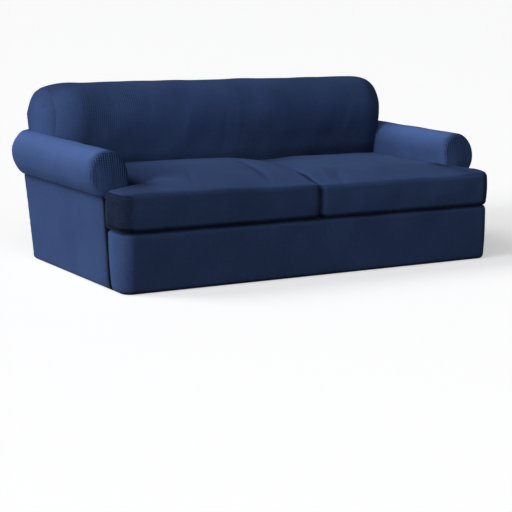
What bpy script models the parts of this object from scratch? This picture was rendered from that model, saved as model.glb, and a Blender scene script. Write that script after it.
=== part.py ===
"""Sofa slipcover: a fitted body cover and two separate covers for T-shaped seat cushions.

Metres, +Z up. The origin is on the floor under the middle of the cover. -Y is the front.
Every piece is an open surface of the sofa's form, with a Solidify modifier for the cloth on its outside.
Inside the functions, x is the distance from the middle, and y is the distance behind the front of the rail.
"""
import bpy
import numpy as np

# The cloth and its seams
CLOTH = 0.002
SEAM = 0.0004
WELD_REACH = 0.00005
SHARP_ANGLE = np.radians(50.0)
NAVY = (0.045, 0.075, 0.19, 1.0)

# Body
HALF_WIDTH = 1.04
RAIL_TOP = 0.274
RAIL_CORNER = 0.050
RAIL_BOW = 0.004
HEM_ROLL = 0.018
HEM_RETURN = 0.022
DECK_INSET = 0.030
DECK_BACK = 0.850
REAR_FOOT = 0.985
REAR_RAKE = 0.285

# Arms. Their fronts lean back, and their rolls are a little taller than wide
ARM_FOOT = 0.130
ARM_LEAN = 0.170
ARM_PUFF = 0.008
PUFF_FOOT = 0.400
PUFF_FADE = 0.080
ROLL_X = 1.008
ROLL_Z = 0.512
ROLL_HALF = 0.097
ROLL_RISE = 0.106
ROLL_EDGE = 0.020
EDGE_CUT = ROLL_EDGE * (1 - np.sin(np.radians(45.0)))
TAIL_LENGTH = 0.060
TAIL_DRAW = 0.030
# The tail is drawn in fully this many degrees above the seam under the roll, and not at all above the last
TAIL_FULL = 50.0
TAIL_FADE = 48.0
TAIL_LAST = 88.0
UNDERSIDE_ANGLE = -np.arccos((HALF_WIDTH - ROLL_X) / ROLL_HALF)
UNDERSIDE_Z = ROLL_Z + ROLL_RISE * np.sin(UNDERSIDE_ANGLE)

# Back
BACK_HALF = 0.988
BACK_CORNER = 0.150
END_SEAM = np.radians(60.0)
END_SEAM_X = BACK_HALF - BACK_CORNER * (1 - np.sin(END_SEAM))
ROLL_STEP = END_SEAM_X + CLOTH
SPINE_Y = 0.99
SPINE_Z = 0.735
REAR_SEAM_Z = 0.700
END_FOOT_Z = ROLL_Z + ROLL_RISE + CLOTH + SEAM
END_PUFF = 0.006
# The back from the seat, over the top, to the seam behind: y, z, and how far the ends round off
BACK_SECTION = np.array([
    (0.832, RAIL_TOP + CLOTH + SEAM, 0.10),
    (0.826, 0.380, 0.12),
    (0.820, 0.470, 0.15),
    (0.812, 0.560, 0.15),
    (0.806, END_FOOT_Z, 0.15),
    (0.802, 0.680, 0.15),
    (0.808, 0.740, 0.15),
    (0.832, 0.800, 0.15),
    (0.878, 0.845, 0.13),
    (0.950, 0.864, 0.08),
    (1.030, 0.858, 0.045),
    (1.100, 0.830, 0.030),
    (1.152, 0.775, 0.020),
    (REAR_FOOT + REAR_RAKE * REAR_SEAM_Z, REAR_SEAM_Z, 0.008),
])

# Seat cushions
CUSHION_BASE = RAIL_TOP + CLOTH + SEAM
CUSHION_INNER = 0.896
CUSHION_BACK = 0.812
EAR_HALF = 1.046
EAR_BACK = 0.170
CORNER = 0.050
BAND_BOW = 0.003
CUSHION_GAP = BAND_BOW + CLOTH + SEAM
BAND_HEM = 0.018
TOP_INSET = 0.009
TOP_TURN = 0.006
EAR_START = 0.880
EDGE_STRIP = 0.120
CROWN_ACROSS = 2.4
CROWN_ALONG = 2.6
DIP_REACH = 0.13
DIVIDE_BOW = 0.055
DIVIDE_DEPTH = 0.300
# One row for each cushion: side, height of the front edge, its rise behind, the depth that the rise takes,
# crown, then x, y and depth of the dip in its top
CUSHIONS = {
    "left": (-1, 0.450, 0.026, 0.50, 0.034, 0.16, 0.24, 0.009),
    "right": (1, 0.436, 0.026, 0.25, 0.026, 0.14, 0.70, 0.012),
}

MIDDLE_Y = (REAR_FOOT + REAR_RAKE * REAR_SEAM_Z - RAIL_BOW) / 2


def clear_scene():
    for item in list(bpy.data.objects):
        bpy.data.objects.remove(item, do_unlink=True)


def fabric(name, shade):
    """The knit's navy, lighter or darker by shade."""
    material = bpy.data.materials.new(name)
    material.use_nodes = True
    shader = material.node_tree.nodes["Principled BSDF"]
    shader.inputs["Base Color"].default_value = tuple(c * shade for c in NAVY[:3]) + (1.0,)
    shader.inputs["Roughness"].default_value = 0.9
    shader.inputs["Metallic"].default_value = 0.0
    return material


def smooth(t):
    t = np.clip(t, 0.0, 1.0)
    return t * t * (3.0 - 2.0 * t)


def curve_through(rows, count):
    """A Catmull-Rom curve through the rows, read at count places evenly spaced along its length."""
    rows = np.vstack([2 * rows[0] - rows[1], rows, 2 * rows[-1] - rows[-2]])
    spans = len(rows) - 3
    t = np.linspace(0.0, spans, spans * 24 + 1)
    i = np.minimum(t.astype(int), spans - 1)
    f = (t - i)[:, None]
    a, b, c, d = rows[i], rows[i + 1], rows[i + 2], rows[i + 3]
    fine = 0.5 * (2 * b + (c - a) * f + (2 * a - 5 * b + 4 * c - d) * f**2 + (3 * b - a - 3 * c + d) * f**3)
    length = np.concatenate([[0.0], np.cumsum(np.linalg.norm(np.diff(fine[:, :2], axis=0), axis=1))])
    wanted = np.linspace(0.0, length[-1], count)
    return np.stack([np.interp(wanted, length, fine[:, k]) for k in range(fine.shape[1])], axis=1)


def add_cloth(name, points, material, keep=None, outward=None, closed=False):
    """A grid of points made a sheet, with quads where keep is true, plus its cloth on the outward side.

    A closed ring has no outward direction, so there it is the direction from the ring's middle.
    """
    rows, columns = points.shape[:2]
    index = np.arange(rows * columns).reshape(rows, columns)
    if closed:
        index = np.hstack([index, index[:, :1]])
    quads = np.stack([index[:-1, :-1], index[:-1, 1:], index[1:, 1:], index[1:, :-1]], axis=-1)
    quads = quads.reshape(-1, 4) if keep is None else quads[keep]
    flat = points.reshape(-1, 3) - np.array([0.0, MIDDLE_Y, 0.0])
    corners = flat[quads]
    normal = np.cross(corners[:, 2] - corners[:, 0], corners[:, 3] - corners[:, 1])
    away = corners.mean(axis=1) - flat.mean(axis=0) if closed else np.array(outward)
    if np.sum(normal * away) < 0:
        quads = quads[:, ::-1]
    mesh = bpy.data.meshes.new(name)
    mesh.from_pydata(flat.tolist(), [], quads.tolist())
    mesh.validate()
    item = bpy.data.objects.new(name, mesh)
    bpy.data.collections["sofa_slipcover"].objects.link(item)
    mesh.materials.append(material)
    weld = item.modifiers.new("Weld", "WELD")
    weld.merge_threshold = WELD_REACH
    wall = item.modifiers.new("Cloth", "SOLIDIFY")
    wall.thickness = CLOTH
    wall.offset = 1.0
    mesh.shade_smooth()
    mesh.set_sharp_from_angle(angle=SHARP_ANGLE)
    return item


def rear_y(z):
    """The raked rear plane."""
    return REAR_FOOT + REAR_RAKE * z


def arm_y(z):
    """The arm's front, which leans back with height. The rail is sewn to it, too."""
    return ARM_FOOT + ARM_LEAN * z


def hem_profile():
    """Distance inward and height, from the hem's inner edge round the fold at the floor to the wall."""
    turn = np.radians(np.linspace(0.0, 90.0, 4))
    inward = np.concatenate([[HEM_ROLL + HEM_RETURN], HEM_ROLL * (1 - np.sin(turn))])
    height = CLOTH + np.concatenate([[0.0], HEM_ROLL * (1 - np.cos(turn))])
    return inward, height


def front_rail(material):
    """The rail's outline in plan, carried up a section: hem, wall, and a rounded top edge to the deck."""
    turn = np.radians(np.linspace(0.0, 90.0, 6))
    corner = np.stack([HALF_WIDTH - RAIL_CORNER * (1 - np.sin(turn)),
                       RAIL_CORNER * (1 - np.cos(turn))], axis=1)
    front = np.stack([np.linspace(0.0, HALF_WIDTH - RAIL_CORNER, 6)[:-1], np.zeros(5)], axis=1)
    side = np.stack([np.full(3, HALF_WIDTH), np.linspace(RAIL_CORNER, ARM_FOOT - CLOTH, 4)[1:]], axis=1)
    half = np.vstack([front, corner, side])
    out = np.vstack([np.tile([0.0, -1.0], (5, 1)), np.stack([np.sin(turn), -np.cos(turn)], axis=1),
                     np.tile([1.0, 0.0], (3, 1))])
    plan = np.vstack([half[:0:-1] * [-1, 1], half])
    out = np.vstack([out[:0:-1] * [-1, 1], out])
    inward, height = hem_profile()
    wall = np.linspace(height[-1], RAIL_TOP - HEM_ROLL, 6)[1:]
    bow = RAIL_BOW * np.sin(np.pi * wall / RAIL_TOP)
    turn = np.radians(np.linspace(0.0, 90.0, 4))[1:]
    inward = np.concatenate([inward, -bow, HEM_ROLL * (1 - np.cos(turn)), [DECK_INSET]])
    height = np.concatenate([height, wall, RAIL_TOP - HEM_ROLL * (1 - np.sin(turn)), [RAIL_TOP]])
    points = np.zeros((len(inward), len(plan), 3))
    points[..., :2] = plan - out * inward[:, None, None]
    points[..., 2] = height[:, None]
    round_side = np.clip((plan[:, 1] - RAIL_CORNER) / (ARM_FOOT - CLOTH - RAIL_CORNER), 0.0, 1.0)
    points[..., 1] += ARM_LEAN * height[:, None] * round_side
    return add_cloth("front_rail", points, material, outward=(0, -1, 0))


def seat_deck(material):
    """A flat T: the part in front of the arms reaches the rail, and the rest lies between the arms."""
    ear = HALF_WIDTH - DECK_INSET - SEAM
    inner = ROLL_X - ROLL_HALF
    front = DECK_INSET + SEAM
    radius = RAIL_CORNER - DECK_INSET
    side = np.array([inner, ear - radius, ear - radius / 2, ear])
    x = np.concatenate([-side[::-1], [0.0], side])
    y = np.array([front, front + radius / 2, front + radius, arm_y(RAIL_TOP) - CLOTH, DECK_BACK])
    plan = np.stack(np.meshgrid(x, y), axis=-1)
    plan = round_corner(plan, (-ear, front), (1, 1), radius)
    plan = round_corner(plan, (ear, front), (-1, 1), radius)
    points = np.concatenate([plan, np.full(plan.shape[:2] + (1,), RAIL_TOP)], axis=-1)
    keep = np.ones((len(y) - 1, len(x) - 1), dtype=bool)
    keep[3, :3] = False
    keep[3, -3:] = False
    return add_cloth("seat_deck", points, material, keep=keep, outward=(0, 0, 1))


def side_panel(name, side, material):
    """The flat outer side from the hem to the seam under the roll, its rear edge on the raked plane."""
    inward, height = hem_profile()
    wall = np.linspace(height[-1], UNDERSIDE_Z - CLOTH - SEAM, 6)[1:]
    inward = np.concatenate([inward, np.zeros(5)])
    height = np.concatenate([height, wall])
    start = arm_y(height) - CLOTH + SEAM
    share = np.linspace(0.0, 1.0, 9)
    end = rear_y(height) - SEAM - inward
    points = np.zeros((len(height), len(share), 3))
    points[..., 0] = side * (HALF_WIDTH - inward[:, None])
    points[..., 1] = start[:, None] + (end - start)[:, None] * share
    points[..., 2] = height[:, None]
    return add_cloth(name, points, material, outward=(side, 0, 0))


def roll_angles():
    """Angles from the seam under the roll up to its outer side, and from there over the top inward."""
    step = np.arccos((ROLL_STEP - ROLL_X) / ROLL_HALF)
    over = np.concatenate([np.linspace(0.0, step, 7), np.linspace(step, np.pi, 6)[1:]])
    return np.linspace(UNDERSIDE_ANGLE, 0.0, 5), over


def roll_section(angle, drawn_in):
    """The roll's oval at these angles, less drawn_in where nothing is sewn along it: x and z."""
    degrees = np.degrees(angle)
    free = smooth((degrees - np.degrees(UNDERSIDE_ANGLE)) / TAIL_FULL)
    free = free * smooth((TAIL_LAST - degrees) / TAIL_FADE)
    return (ROLL_X + (ROLL_HALF - drawn_in * free) * np.cos(angle),
            ROLL_Z + (ROLL_RISE - drawn_in * free) * np.sin(angle))


def arm_stop(x, z):
    """How far back the arm's cloth runs at x and z: to just in front of the back's rounded cloth."""
    rows = BACK_SECTION[:6]
    flat = np.interp(z, rows[:, 1], rows[:, 0])
    depth = np.interp(z, rows[:, 1], rows[:, 2])
    turn = np.clip((np.abs(x) - BACK_HALF + BACK_CORNER) / BACK_CORNER, 0.0, 1.0)
    facing = np.sqrt(1 - turn**2)
    return flat + depth * (1 - facing) - (CLOTH + 4 * SEAM) / np.maximum(facing, 0.5)


def arm_wrap(name, side, material):
    """The inside of the arm and the roll: a section of points, carried from the arm's front to the back.

    Beyond the seam of the back's end the roll runs on to the rear plane, so the grid is stepped there.
    """
    outer, upper = roll_angles()
    angle = np.concatenate([outer, upper[1:]])
    down = np.linspace(ROLL_Z, RAIL_TOP + CLOTH + SEAM, 5)[1:]
    x, z = roll_section(angle, 0.0)
    x = np.concatenate([x, np.full(4, ROLL_X - ROLL_HALF)])
    z = np.concatenate([z, down])
    step = len(outer) + 5
    meet = arm_stop(np.minimum(x, ROLL_STEP), z)
    meet[:step] = meet[step]
    share = np.linspace(0.0, 1.0, 8)
    front = arm_y(z) + ROLL_EDGE
    y = np.vstack([arm_y(z) + EDGE_CUT, front + (meet - front) * share[:, None]])
    points = np.stack([np.tile(x, (len(y), 1)), y, np.tile(z, (len(y), 1))], axis=-1)
    points[0, :, 0] -= EDGE_CUT * np.concatenate([np.cos(angle), np.full(4, -1.0)])
    points[0, :, 2] -= EDGE_CUT * np.concatenate([np.sin(angle), np.zeros(4)])
    turn = np.radians(np.array([0.0, 30.0, 60.0, 90.0]))
    tail = np.tile(points[-1], (len(turn), 1, 1))
    for row, angle_in in zip(tail, turn):
        row[:len(angle), 0], row[:len(angle), 2] = roll_section(angle, TAIL_DRAW * (1 - np.cos(angle_in)))
        row[:, 1] = rear_y(row[:, 2]) - SEAM - TAIL_LENGTH * (1 - np.sin(angle_in))
    points = np.concatenate([points, tail])
    points[..., 0] *= side
    keep = np.ones((points.shape[0] - 1, len(x) - 1), dtype=bool)
    keep[-len(turn):, step:] = False
    return add_cloth(name, points, material, keep=keep, outward=(0, 0, 1))


def arm_front(name, side, material):
    """The facing's outline, drawn in ring by ring to a line up its middle, and puffed forward on the way.

    The outline goes up the outer side, over the roll's top, and down the inner side at the same heights.
    """
    half = ROLL_HALF - EDGE_CUT - SEAM
    rise = ROLL_RISE - EDGE_CUT - SEAM
    stem_half = HALF_WIDTH - 2 * SEAM
    notch_z = ROLL_Z - rise * np.sqrt(1 - ((stem_half - ROLL_X) / half)**2)
    stem = np.linspace(RAIL_TOP + CLOTH + SEAM, notch_z, 5)
    lower, upper = roll_angles()
    angle = np.concatenate([lower[1:], upper[1:-1]])
    up = np.concatenate([stem, ROLL_Z + rise * np.sin(lower[1:])])
    x = np.concatenate([np.full(5, stem_half), ROLL_X + half * np.cos(angle),
                        np.full(len(up), ROLL_X - half)])
    z = np.concatenate([up, ROLL_Z + rise * np.sin(upper[1:-1]), up[::-1]])
    spine_z = np.minimum(z, ROLL_Z)
    stem_x = (HALF_WIDTH + ROLL_X - ROLL_HALF) / 2
    spine_x = stem_x + (ROLL_X - stem_x) * smooth((spine_z - UNDERSIDE_Z) / (ROLL_Z - UNDERSIDE_Z))
    share = np.array([0.0, 0.10, 0.40, 0.70, 1.0])
    puff = ARM_PUFF * np.array([0.0, 0.0, 0.6, 0.9, 1.0])
    forward = puff[:, None] * smooth((spine_z - PUFF_FOOT) / PUFF_FADE)
    forward[0] = (SEAM - EDGE_CUT) * smooth((spine_z - PUFF_FOOT) / (0.4 * PUFF_FADE))
    points = np.zeros((len(share), len(x), 3))
    points[..., 0] = side * (x + (spine_x - x) * share[:, None])
    points[..., 2] = z + (spine_z - z) * share[:, None]
    points[..., 1] = arm_y(points[..., 2]) - forward
    return add_cloth(name, points, material, outward=(0, -1, 0))


def towards_spine(rows):
    """The direction and distance from each point of the section to the spine that it rounds off towards."""
    spine = np.stack([np.full(len(rows), SPINE_Y), np.minimum(rows[:, 1], SPINE_Z)], axis=1)
    inward = spine - rows[:, :2]
    reach = np.linalg.norm(inward, axis=1)
    return inward / reach[:, None], reach


def rounded_end(rows, inward, turn):
    """The section drawn in towards its spine: depth times one minus the cosine of the turn."""
    drop = rows[:, 2:3] * (1 - np.cos(turn))
    return rows[:, 0:1] + inward[:, 0:1] * drop, rows[:, 1:2] + inward[:, 1:2] * drop


def back_rows():
    """The section's rows in four runs: below the arms' tops, ahead of the spine, over the top, and behind it.

    The second and last runs have the same heights, so that the end panels draw in to a straight spine.
    """
    fine = curve_through(BACK_SECTION, 241)
    foot = REAR_FOOT + REAR_RAKE * END_FOOT_Z
    fine = np.vstack([fine, [foot, END_FOOT_Z, BACK_SECTION[-1, 2]]])
    top = int(np.argmax(fine[:, 1]))
    rising, falling = fine[:top], fine[:top:-1]
    heights = np.array([END_FOOT_Z, (END_FOOT_Z + REAR_SEAM_Z) / 2, REAR_SEAM_Z, SPINE_Z])
    low = np.linspace(BACK_SECTION[0, 1], END_FOOT_Z, 10)[:-1]
    low, ahead = (np.stack([np.interp(z, rising[:, 1], rising[:, k]) for k in range(3)], axis=1)
                  for z in (low, heights))
    behind = np.stack([np.interp(heights, falling[:, 1], falling[:, k]) for k in range(3)], axis=1)
    over = fine[fine[:, 1] > SPINE_Z]
    over = over[np.linspace(0, len(over) - 1, 15).astype(int)[1:-1]]
    return low, ahead, over, behind[::-1]


def inside_back(material):
    """The back's section carried from end seam to end seam; between the arms its edges follow the rolls."""
    low, ahead, over, behind = back_rows()
    rows = np.vstack([low, ahead, over, behind[:2]])
    inward = towards_spine(rows)[0]
    seam_x = END_SEAM_X - SEAM
    z = rows[:len(low), 1]
    roll = ROLL_HALF * np.sqrt(np.maximum(1 - (np.maximum(z - ROLL_Z, 0.0) / ROLL_RISE)**2, 0.0))
    edge = np.full(len(rows), seam_x)
    edge[:len(low)] = np.minimum(ROLL_X - roll, seam_x)
    share = np.array([-1.0, -0.965, -0.93, -0.89, -0.80, -0.6, -0.4, -0.2, 0.0])
    share = np.concatenate([share, -share[-2::-1]])
    x = edge[:, None] * share
    turn = np.arcsin(np.clip((np.abs(x) - BACK_HALF + BACK_CORNER) / BACK_CORNER, 0.0, 0.999))
    y, z = rounded_end(rows, inward, turn)
    return add_cloth("inside_back", np.stack([x, y, z], axis=-1), material, outward=(0, -1, 0))


def back_end(name, side, material):
    """From the seam round the back's end to the flat of the end, and in to the spine."""
    rows = np.vstack(back_rows()[1:])
    inward, reach = towards_spine(rows)
    turn = END_SEAM + (np.pi / 2 - END_SEAM) * np.array([0.0, 0.5, 1.0])
    y, z = rounded_end(rows, inward, turn[None, :])
    share = np.array([0.35, 0.7, 1.0])
    draw = rows[:, 2:3] + (reach[:, None] - rows[:, 2:3]) * share
    y = np.hstack([y, rows[:, 0:1] + inward[:, 0:1] * draw])
    z = np.hstack([z, rows[:, 1:2] + inward[:, 1:2] * draw])
    y[-2:, :3] -= SEAM
    x = np.concatenate([BACK_HALF - BACK_CORNER * (1 - np.sin(turn)),
                        BACK_HALF + END_PUFF * np.sin(np.pi / 2 * share)])
    x[0] += SEAM
    points = np.stack([np.tile(side * x, (len(rows), 1)), y, z], axis=-1)
    return add_cloth(name, points, material, outward=(side, 0, 0))


def outside_back(material):
    """The raked rear panel: at each height a row as wide as the sides, the rolls or the back's ends."""
    inward, height = hem_profile()
    lower = np.linspace(height[-1], UNDERSIDE_Z, 6)[1:]
    outer, over = roll_angles()
    roll_half, roll_z = roll_section(np.concatenate([outer[1:], over[1:5]]), TAIL_DRAW + 3 * SEAM)
    upper = np.array([END_FOOT_Z + SEAM, 0.66, REAR_SEAM_Z - SEAM])
    z = np.concatenate([height, lower, roll_z, upper])
    half = np.concatenate([HALF_WIDTH - inward, np.full(5, HALF_WIDTH), roll_half,
                           BACK_HALF - np.array([0.0, 0.002, 0.006])])
    inward = np.concatenate([inward, np.zeros(len(z) - len(inward))])
    share = np.linspace(-1.0, 1.0, 11)
    points = np.zeros((len(z), len(share), 3))
    points[..., 0] = half[:, None] * share
    points[..., 1] = (rear_y(z) - inward)[:, None]
    points[..., 2] = z[:, None]
    return add_cloth("outside_back", points, material, outward=(0, 1, 0))


def round_corner(plan, corner, towards, radius):
    """Moves grid points in a corner's square onto a quarter disc: each share is cut by the other's square."""
    centre = np.array(corner) + np.array(towards) * radius
    share = (centre - plan) * towards / radius
    inside = np.all(share > 0, axis=-1)
    a = np.clip(share[..., 0], 0.0, 1.0)
    b = np.clip(share[..., 1], 0.0, 1.0)
    disc = np.stack([a * np.sqrt(1 - b**2 / 2), b * np.sqrt(1 - a**2 / 2)], axis=-1)
    return np.where(inside[..., None], centre - disc * radius * towards, plan)


def cushion_plan(inset):
    """The right cushion's top as a stepped grid in plan: the ear's columns stop at the ear's depth."""
    x0, x1, x2 = CUSHION_GAP + inset, CUSHION_INNER - inset, EAR_HALF - inset
    y0, y1, y2 = inset, EAR_BACK - inset, CUSHION_BACK - inset
    near = np.array([0.0, CORNER / 2, CORNER])
    x = np.concatenate([x0 + near, np.linspace(x0 + EDGE_STRIP, x1 - EDGE_STRIP, 6),
                        x1 - near[::-1], x2 - near[::-1]])
    y = np.concatenate([y0 + near, y1 - near[1::-1], np.linspace(y1 + EDGE_STRIP / 2, y2 - EDGE_STRIP, 6),
                        y2 - near[::-1]])
    ear = int(np.argmax(x >= x1 - 1e-9))
    arm = int(np.argmax(y >= y1 - 1e-9))
    plan = np.stack(np.meshgrid(x, y), axis=-1)
    plan = round_corner(plan, (x0, y0), (1, 1), CORNER)
    plan = round_corner(plan, (x2, y0), (-1, 1), CORNER)
    plan = round_corner(plan, (x0, y2), (1, -1), CORNER)
    plan = round_corner(plan, (x1, y2), (-1, -1), CORNER)
    return plan, ear, arm


def outline_of(plan, ear, arm):
    """The stepped grid's edge, once round from the front inner corner."""
    return np.vstack([plan[0, :], plan[1:arm + 1, -1], plan[arm, -2:ear:-1], plan[arm:, ear],
                      plan[-1, ear - 1::-1], plan[-2:0:-1, 0]])


def crown_height(plan, cushion):
    """The edge, plus its rise behind, plus the crown: a flat hump across times one along, less the dip.

    The rise fades out towards the ear's end.
    """
    edge, rise, rise_depth, crown, dip_x, dip_y, dip = cushion
    x, y = plan[..., 0], plan[..., 1]
    rise = rise * smooth(y / rise_depth) * (1 - smooth((x - EAR_START) / (EAR_HALF - EAR_START)))
    reach = CUSHION_INNER + (EAR_HALF - CUSHION_INNER) * smooth((2 * EAR_BACK - y) / (1.5 * EAR_BACK))
    across = np.abs(2 * x / reach - 1)
    along = np.abs(2 * y / CUSHION_BACK - 1)
    hump = crown * (1 - across**CROWN_ACROSS) * (1 - along**CROWN_ALONG)
    far = ((x - dip_x)**2 + (y - dip_y)**2) / DIP_REACH**2
    return edge + rise + hump - dip * np.exp(-far)


def follow_divide(points):
    """The line between the cushions bows to the right behind the front; the shift fades towards the arms."""
    share = np.clip(1 - np.abs(points[..., 0]) / CUSHION_INNER, 0.0, 1.0)
    points[..., 0] += DIVIDE_BOW * smooth(points[..., 1] / DIVIDE_DEPTH) * share
    return points


def seat_top(name, side, cushion, material):
    """The crowned top with its ear, its rim turned a little down over the edge."""
    plan, ear, arm = cushion_plan(TOP_INSET)
    height = crown_height(plan, cushion)
    keep = np.ones((plan.shape[0] - 1, plan.shape[1] - 1), dtype=bool)
    keep[arm:, ear:] = False
    rim = np.ones(plan.shape[:2], dtype=bool)
    rim[1:-1, 1:-1] = False
    rim[arm, ear:] = True
    rim[arm:, ear] = True
    height = height - np.where(rim, TOP_TURN, 0.0)
    points = follow_divide(np.concatenate([plan * [side, 1], height[..., None]], axis=-1))
    return add_cloth(name, points, material, keep=keep, outward=(0, 0, 1))


def seat_band(name, side, cushion, material):
    """The top's rim carried down: a soft edge, a bowed wall, and the hem turned in under the cushion."""
    ring = outline_of(*cushion_plan(TOP_INSET))
    rim = crown_height(ring, cushion) - TOP_TURN
    ahead = np.roll(ring, -1, axis=0) - ring
    behind = ring - np.roll(ring, 1, axis=0)
    ahead /= np.linalg.norm(ahead, axis=1)[:, None]
    behind /= np.linalg.norm(behind, axis=1)[:, None]
    out = np.stack([ahead[:, 1] + behind[:, 1], -ahead[:, 0] - behind[:, 0]], axis=1)
    out /= (1 + np.sum(ahead * behind, axis=1))[:, None]
    base = CUSHION_BASE + CLOTH
    # Share of the drop from rim to base, and distance outward from the rim
    fall = np.array([0.0, 0.12, 0.35, 0.60, 0.84, 0.95, 1.0, 1.0])
    bow = np.array([0.0, 0.0, 0.8, 1.0, 0.3, 0.0, 0.0, 0.0])
    step = TOP_INSET * np.array([0.0, 0.75, 1.0, 1.0, 0.9, 0.45, -0.2, 0.0]) + BAND_BOW * bow
    step[-1] = -BAND_HEM
    top = rim - SEAM
    points = np.zeros((len(fall), len(ring), 3))
    points[..., :2] = ring + out * (step[:, None, None] + 0.5 * SEAM)
    points[..., 2] = top + (base - top) * fall[:, None]
    points[..., 0] *= side
    return add_cloth(name, follow_divide(points), material, closed=True)


def main():
    clear_scene()
    cover = bpy.data.collections.new("sofa_slipcover")
    bpy.context.scene.collection.children.link(cover)
    body = fabric("body_knit", 1.0)
    deck = fabric("deck_knit", 0.8)
    seat = fabric("seat_knit", 1.1)
    front_rail(body)
    seat_deck(deck)
    inside_back(body)
    outside_back(body)
    for name, side in (("left", -1), ("right", 1)):
        side_panel("side_" + name, side, body)
        arm_wrap("arm_wrap_" + name, side, body)
        arm_front("arm_front_" + name, side, body)
        back_end("back_end_" + name, side, body)
    for name, (side, *cushion) in CUSHIONS.items():
        seat_top("seat_top_" + name, side, cushion, seat)
        seat_band("seat_band_" + name, side, cushion, seat)


main()
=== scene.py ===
# %% [markdown]
# # A fitted cover for a rolled-arm sofa
# The real object is knitted cloth, cut in panels, sewn together and pulled over a sofa. The two seat cushions
# have covers of their own. Each panel here is one grid of points that follows the sofa's form, gets a thin
# wall, and stands in for the plain solid of the same panel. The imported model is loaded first, because
# every panel has to lie where its solid is.

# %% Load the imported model
import math
from functools import partial

import bpy
import numpy as np
from mathutils import Matrix


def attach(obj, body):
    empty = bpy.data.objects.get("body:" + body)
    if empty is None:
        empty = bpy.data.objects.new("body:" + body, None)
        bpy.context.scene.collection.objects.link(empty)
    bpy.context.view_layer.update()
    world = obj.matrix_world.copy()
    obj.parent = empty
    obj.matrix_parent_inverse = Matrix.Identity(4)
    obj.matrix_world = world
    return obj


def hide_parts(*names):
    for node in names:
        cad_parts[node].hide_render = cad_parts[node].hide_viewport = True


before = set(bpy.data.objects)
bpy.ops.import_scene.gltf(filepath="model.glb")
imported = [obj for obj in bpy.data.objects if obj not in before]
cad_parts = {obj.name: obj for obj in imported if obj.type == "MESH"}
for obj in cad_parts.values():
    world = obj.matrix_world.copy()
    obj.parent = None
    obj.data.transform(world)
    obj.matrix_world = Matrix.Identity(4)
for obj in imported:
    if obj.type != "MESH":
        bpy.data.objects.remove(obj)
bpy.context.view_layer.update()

# %% [markdown]
# ## Sizes
# A cover is drafted from the sofa's sizes. These are the sizes of the solids, in metres. In the functions
# below, x is measured from the middle, y backwards from the front of the rail, and z up from the floor.
# MIDDLE_Y then moves the finished panels to the model's own place.

# %% Named sizes
CLOTH = 0.002
SEAM = 0.0004
HALF_WIDTH = 1.04
RAIL_TOP = 0.274
RAIL_CORNER = 0.050
RAIL_BOW = 0.004
HEM_ROLL = 0.018
HEM_RETURN = 0.022
DECK_INSET = 0.030
DECK_BACK = 0.850
REAR_FOOT = 0.985
REAR_RAKE = 0.285
ARM_FOOT = 0.130
ARM_LEAN = 0.170
FACE_PUFF = 0.0064
PUFF_FOOT = 0.400
PUFF_FADE = 0.080
ROLL_X = 1.008
ROLL_Z = 0.512
ROLL_HALF = 0.097
ROLL_RISE = 0.106
ROLL_EDGE = 0.022
TAIL_LENGTH = 0.060
TAIL_DRAW = 0.030
TAIL_FULL = 50.0
TAIL_FADE = 48.0
TAIL_LAST = 88.0
UNDERSIDE_ANGLE = -math.acos((HALF_WIDTH - ROLL_X) / ROLL_HALF)
UNDERSIDE_Z = ROLL_Z + ROLL_RISE * math.sin(UNDERSIDE_ANGLE)
BACK_HALF = 0.988
BACK_CORNER = 0.150
END_SEAM = math.radians(60.0)
END_SEAM_X = BACK_HALF - BACK_CORNER * (1 - math.sin(END_SEAM))
ROLL_STEP = END_SEAM_X + CLOTH
SPINE_Y = 0.99
SPINE_Z = 0.735
REAR_SEAM_Z = 0.700
END_FOOT_Z = ROLL_Z + ROLL_RISE + CLOTH + SEAM
END_PUFF = 0.006
MIDDLE_Y = (REAR_FOOT + REAR_RAKE * REAR_SEAM_Z - RAIL_BOW) / 2
print("middle of the depth", round(MIDDLE_Y, 4), "roll's seam at height", round(UNDERSIDE_Z, 3))

# %% [markdown]
# ## Tools for stretched cloth
# Stretched cloth is smooth, but it isn't perfect. It dips a little along a seam, it puckers where the
# sewing thread is tighter than the knit, and it keeps a few soft creases. All of that could be sculpted by
# hand. Here it is a distance along each point's normal instead, so the same tools serve every panel.

# %% Places along an edge, closer together near its ends, and the curves that fade things in and out
END_STEPS = np.array([0.0, 0.0015, 0.003, 0.005, 0.0075, 0.011, 0.016, 0.023])


def joined(*parts):
    """The parts one after another."""
    return np.concatenate(parts)


def quarter(count):
    """The angles of a quarter circle, in even steps."""
    return np.linspace(0.0, np.pi / 2, count)


def stations(length, step, start=True, stop=True):
    """Places from 0 to length: the steps of END_STEPS at each chosen end, and even steps between."""
    low = END_STEPS if start else END_STEPS[:1]
    high = length - END_STEPS[::-1] if stop else np.array([length])
    count = max(2, int(math.ceil((high[0] - low[-1]) / step)) + 1)
    return joined(low[:-1], np.linspace(low[-1], high[0], count), high[1:])


def smooth(t):
    """0 before 0, 1 after 1, and three t squared less two t cubed between."""
    t = np.clip(t, 0.0, 1.0)
    return t * t * (3.0 - 2.0 * t)


def rise(value, start, width):
    """0 up to the start, 1 from one width further on, and the smooth step between."""
    return smooth((value - start) / width)


def bell(a, b=0.0):
    """A bell curve: e to the minus sum of both squares, so 1 where both are 0."""
    return np.exp(-(a**2 + b**2))


print("an edge of 0.1 m gets", len(stations(0.1, 0.01)), "places")

# %% Grids of points, their lengths and their normals
def grid(x, y, z):
    """Points from their three sizes; a number, a row or a column among them is repeated over the grid."""
    return np.stack(np.broadcast_arrays(x, y, z), axis=-1)


def all_quads(points):
    """A mark for each quad between neighbouring points; panels clear the marks where they have no cloth."""
    return np.ones((points.shape[0] - 1, points.shape[1] - 1), dtype=bool)


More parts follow.
